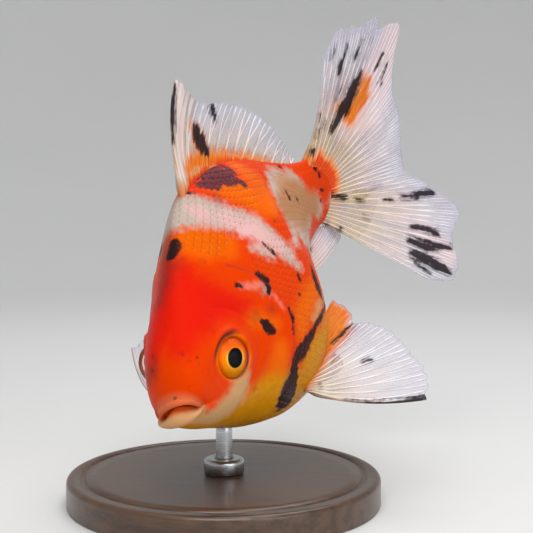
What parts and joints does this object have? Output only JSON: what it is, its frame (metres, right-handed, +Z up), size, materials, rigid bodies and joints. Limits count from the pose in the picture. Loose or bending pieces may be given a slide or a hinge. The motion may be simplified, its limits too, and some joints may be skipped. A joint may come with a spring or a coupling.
{
  "type": "fancy goldfish on a display stand",
  "caption": "Deep-bodied fancy goldfish with a twin tail, nose down and tail swung to its left, held over a round base by a short rod.",
  "frame": {"origin": "centre of the stand base's underside", "axes": "-Y towards the fish's nose, +X towards the fish's left side, +Z up"},
  "size_m": [0.0875, 0.1214, 0.1224],
  "materials": {
    "skin_red": "wet gloss, deep orange-red",
    "skin_orange": "wet gloss, orange with black and white markings",
    "skin_pale": "wet gloss, cream with an orange band and black dots",
    "lip": "wet gloss, pink",
    "fin_web": "wet gloss, translucent white between pale rays",
    "eye_gloss": "clear gloss over a black pupil and an amber iris",
    "stand_wood": "satin varnish",
    "stand_steel": "brushed"
  },
  "bodies": {
    "root": {"head": "skin_red", "upper_lip": "lip", "lower_jaw": "lip", "trunk": "skin_orange", "tail_stem": "skin_pale", "gill_cover_left": "skin_orange", "gill_cover_right": "skin_orange", "eye_left": "eye_gloss", "eye_right": "eye_gloss", "dorsal_fin": "fin_web", "pectoral_fin_left": "fin_web", "pectoral_fin_right": "fin_web", "pelvic_fin_left": "fin_web", "pelvic_fin_right": "fin_web", "anal_fin_left": "fin_web", "anal_fin_right": "fin_web", "tail_fin_left_upper": "fin_web", "tail_fin_left_lower": "fin_web", "tail_fin_right_upper": "fin_web", "tail_fin_right_lower": "fin_web", "stand_base": "stand_wood", "stand_collar": "stand_steel", "stand_rod": "stand_steel"}
  },
  "joints": []
}
